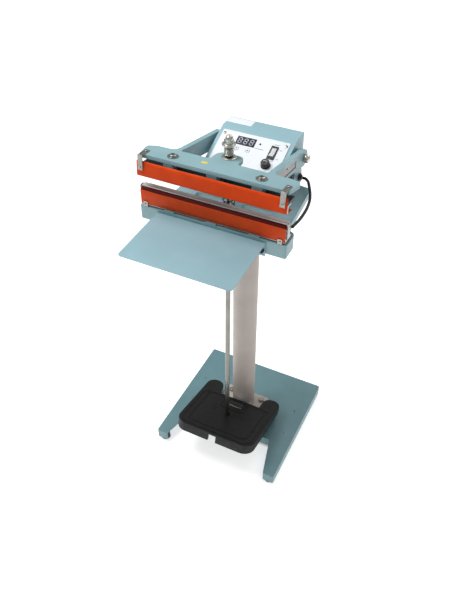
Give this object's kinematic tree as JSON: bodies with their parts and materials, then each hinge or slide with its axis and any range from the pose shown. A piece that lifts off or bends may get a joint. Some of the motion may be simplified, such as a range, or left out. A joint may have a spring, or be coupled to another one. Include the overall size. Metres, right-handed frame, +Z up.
{
  "type": "impulse heat sealer",
  "caption": "Foot-operated impulse heat sealer: a pedal on a forked base pulls a rod that closes a wide hinged jaw on a heated bar in front of a timer box and work tray.",
  "frame": {"origin": "on the floor under the middle of the footprint of the whole machine, tray included; the column stands 88 mm behind it", "axes": "+Z up, +Y from the operator to the back of the machine, +X to the operator's right; x = 0 is the plane of the column and the pull rod"},
  "size_m": [0.363, 0.502, 0.963],
  "materials": {
    "teal_enamel": "hammer-smooth teal enamel",
    "cream_powder_coat": "warm light grey powder coat",
    "black_cast_iron": "black enamel on iron",
    "black_rubber": "moulded black rubber",
    "chrome": "bright chrome plate",
    "zinc_plated_steel": "bright zinc-plated steel",
    "black_oxide_steel": "black oxide",
    "grey_sheet_steel": "plain galvanised sheet",
    "extruded_aluminium": "extruded, mill finish",
    "black_phenolic": "black paper-phenolic laminate",
    "glass_cloth_tape": "grey glass-cloth insulating tape",
    "ptfe_glass_cloth": "orange-brown PTFE-coated glass cloth",
    "red_silicone_rubber": "red silicone rubber",
    "white_panel_film": "white printed film on a sheet-metal panel",
    "smoked_display": "smoked window of a digit display",
    "black_plastic": "black moulded plastic",
    "pale_grey_plastic": "pale grey moulded plastic",
    "green_circuit_board": "green lacquered circuit board"
  },
  "bodies": {
    "stand": {"base_plate": "teal_enamel", "lower_frame": "teal_enamel", "control_box_cover": "teal_enamel", "tray": "teal_enamel", "column": "cream_powder_coat", "column_foot_flange": "cream_powder_coat", "column_top_flange": "cream_powder_coat", "foot_front_left": "black_rubber", "foot_front_right": "black_rubber", "foot_rear_left": "black_rubber", "foot_rear_right": "black_rubber", "jaw_cable": "black_rubber", "pivot_bolt_left": "chrome", "pivot_bolt_right": "chrome", "pedal_bracket_left": "zinc_plated_steel", "pedal_bracket_right": "zinc_plated_steel", "pedal_pin_left": "zinc_plated_steel", "pedal_pin_right": "zinc_plated_steel", "heating_ribbon": "zinc_plated_steel", "ribbon_terminal_left": "zinc_plated_steel", "ribbon_terminal_right": "zinc_plated_steel", "lower_cloth_clip_left": "zinc_plated_steel", "lower_cloth_clip_right": "zinc_plated_steel", "return_spring": "black_oxide_steel", "transformer": "black_oxide_steel", "tray_bolt_left": "black_oxide_steel", "tray_bolt_right": "black_oxide_steel", "control_box_chassis": "grey_sheet_steel", "lower_jaw_bar": "extruded_aluminium", "insulating_tape": "glass_cloth_tape", "lower_cloth": "ptfe_glass_cloth", "front_panel": "white_panel_film", "display_window": "smoked_display", "rocker_frame": "black_plastic", "fuse_holder": "black_plastic", "closing_switch": "black_plastic", "jaw_cable_gland": "black_plastic", "supply_gland": "black_plastic", "timer_board": "green_circuit_board"},
    "pedal": {"pedal": "black_cast_iron"},
    "rod": {"pull_rod": "chrome", "rod_end_nut": "zinc_plated_steel", "pressure_spring": "chrome", "acorn_nut": "chrome"},
    "adjuster": {"spring_adjuster": "chrome"},
    "upper_jaw": {"upper_casting": "teal_enamel", "upper_jaw_bar": "black_phenolic", "pressure_pad": "red_silicone_rubber", "upper_cloth": "ptfe_glass_cloth", "cloth_bracket_left": "zinc_plated_steel", "cloth_bracket_right": "zinc_plated_steel", "jaw_screw_left": "zinc_plated_steel", "jaw_screw_right": "zinc_plated_steel", "arm_side_plate_left": "grey_sheet_steel", "arm_side_plate_right": "grey_sheet_steel", "spring_washer": "chrome"},
    "up_key": {"button_up": "white_panel_film"},
    "down_key": {"button_down": "white_panel_film"},
    "power_rocker": {"rocker": "pale_grey_plastic"},
    "fuse_knob": {"fuse_cap": "black_plastic"}
  },
  "joints": [
    {"name": "pedal_hinge", "type": "hinge", "parent": "stand", "child": "pedal", "pos_m": [0, 0.077, 0.071], "axis": [1, 0, 0], "range_deg": [0, 10]},
    {"name": "upper_jaw_hinge", "type": "hinge", "parent": "stand", "child": "upper_jaw", "pos_m": [0, 0.143, 0.862], "axis": [1, 0, 0], "range_deg": [0, 6.5], "stiffness_Nm_per_rad": 60, "springref_deg": -20.05, "deforming": ["return_spring"]},
    {"name": "rod_on_pedal", "type": "hinge", "parent": "pedal", "child": "rod", "pos_m": [0, -0.02158, 0.0943], "axis": [1, 0, 0], "range_deg": [-9.9, 0]},
    {"name": "adjuster_turn", "type": "hinge", "parent": "rod", "child": "adjuster", "pos_m": [0, -0.00589, 0.9425], "axis": [0, 0.0185, 0.9998], "range_deg": [-180, 180]},
    {"name": "up_press", "type": "slide", "parent": "stand", "child": "up_key", "axis": [0, 0.4027, -0.9153], "range_m": [0, 0.0005], "stiffness_N_per_m": 900, "springref_m": -0.0008},
    {"name": "down_press", "type": "slide", "parent": "stand", "child": "down_key", "axis": [0, 0.4027, -0.9153], "range_m": [0, 0.0005], "stiffness_N_per_m": 900, "springref_m": -0.0008},
    {"name": "rocker_tilt", "type": "hinge", "parent": "stand", "child": "power_rocker", "pos_m": [0.0508, 0.10112, 0.88079], "axis": [1, 0, 0], "range_deg": [0, 16]},
    {"name": "fuse_cap_turn", "type": "hinge", "parent": "stand", "child": "fuse_knob", "pos_m": [0.0483, 0.0704, 0.86618], "axis": [0, -0.4027, 0.9153], "range_deg": [0, 90]}
  ],
  "couplings": [
    {"joint": "upper_jaw_hinge", "follows": "pedal_hinge", "ratio": 0.65},
    {"joint": "rod_on_pedal", "follows": "pedal_hinge", "ratio": -0.9856}
  ]
}
